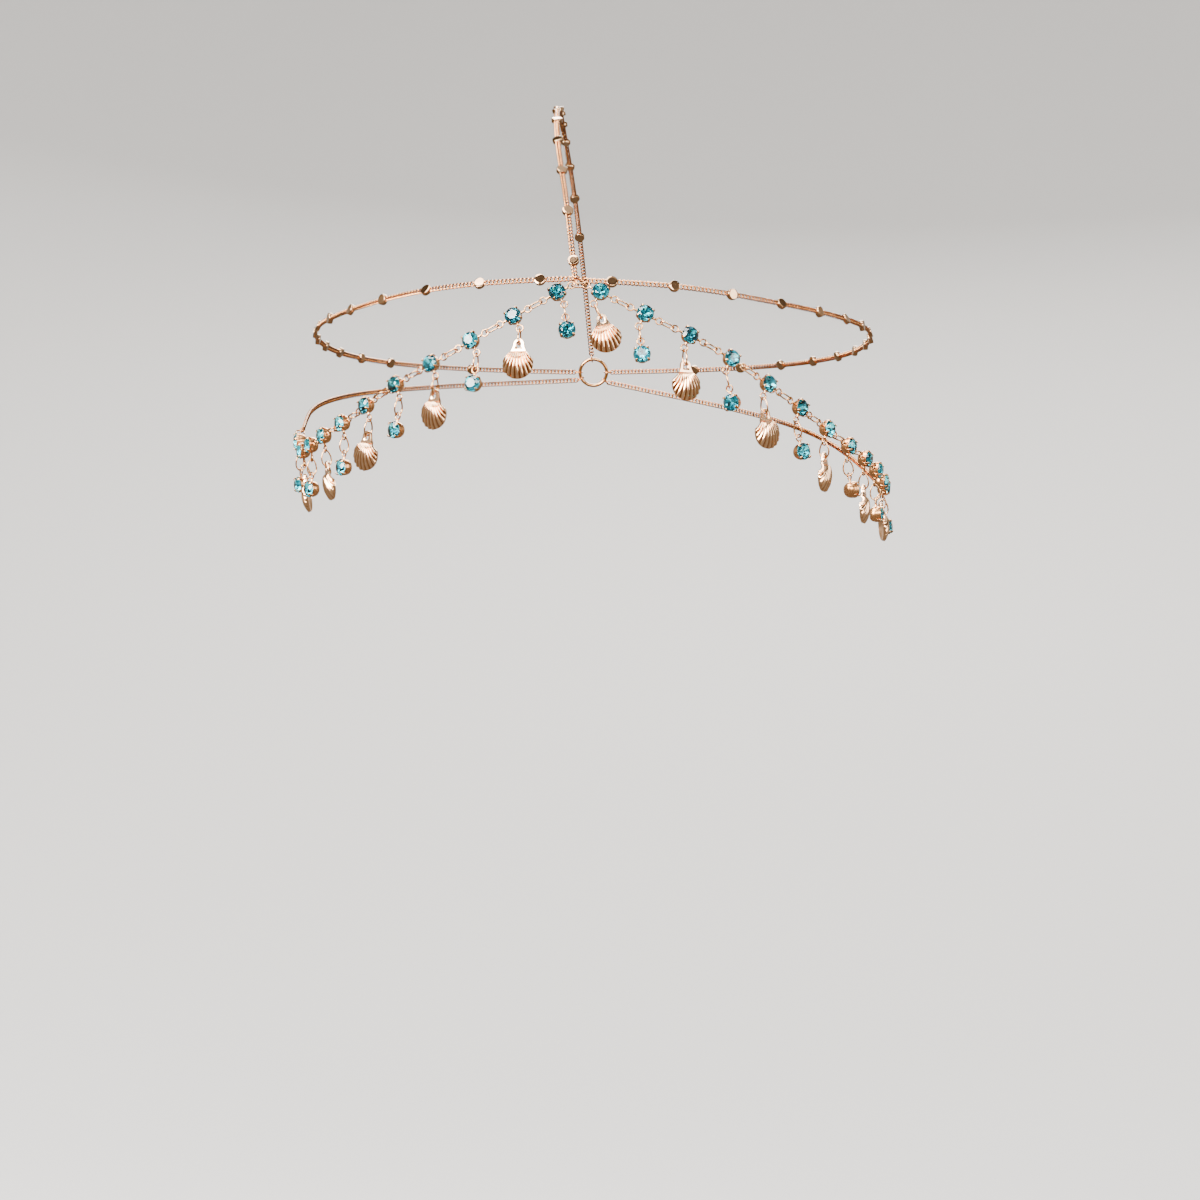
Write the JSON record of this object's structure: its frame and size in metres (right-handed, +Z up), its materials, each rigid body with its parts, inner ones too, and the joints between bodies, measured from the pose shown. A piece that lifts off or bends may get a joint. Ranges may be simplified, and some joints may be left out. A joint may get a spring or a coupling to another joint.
{
  "type": "hair chain",
  "caption": "Hair chain of fine curb chain with small discs round the brow and over the crown, and a swag of round stones with scallop shell and stone drops.",
  "frame": {"origin": "crown of the head that the chain is worn on, where the crown strand rests", "axes": "+Z up, the wearer looks along -Y, +X to the wearer's left"},
  "size_m": [0.1636, 0.2017, 0.1197],
  "materials": {
    "chain": "polished, rose gold plated",
    "discs": "mirror polished, rose gold plated",
    "settings": "polished, rose gold plated",
    "shells": "polished, rose gold plated",
    "stones": "cut and polished"
  },
  "bodies": {
    "root": {"brow_chain_left": "chain", "brow_chain_right": "chain", "crown_chain": "chain", "swag_tail_left": "chain", "swag_tail_right": "chain", "back_ring": "settings", "brow_discs": "discs", "crown_discs": "discs", "row_stones": "stones", "row_links": "settings", "drop_links": "settings", "drop_settings": "settings", "drop_stones": "stones", "row_setting_left_01": "settings", "row_setting_left_02": "settings", "row_setting_left_03": "settings", "row_setting_left_04": "settings", "row_setting_left_05": "settings", "row_setting_left_06": "settings", "row_setting_left_07": "settings", "row_setting_left_08": "settings", "row_setting_left_09": "settings", "row_setting_left_10": "settings", "row_setting_left_11": "settings", "row_setting_right_01": "settings", "row_setting_right_02": "settings", "row_setting_right_03": "settings", "row_setting_right_04": "settings", "row_setting_right_05": "settings", "row_setting_right_06": "settings", "row_setting_right_07": "settings", "row_setting_right_08": "settings", "row_setting_right_09": "settings", "row_setting_right_10": "settings", "row_setting_right_11": "settings", "row_setting_right_12": "settings", "shell_drop_left_02": "shells", "shell_drop_left_04": "shells", "shell_drop_left_06": "shells", "shell_drop_left_08": "shells", "shell_drop_left_10": "shells", "shell_drop_right_01": "shells", "shell_drop_right_03": "shells", "shell_drop_right_05": "shells", "shell_drop_right_07": "shells", "shell_drop_right_09": "shells", "shell_drop_right_11": "shells"}
  },
  "joints": []
}
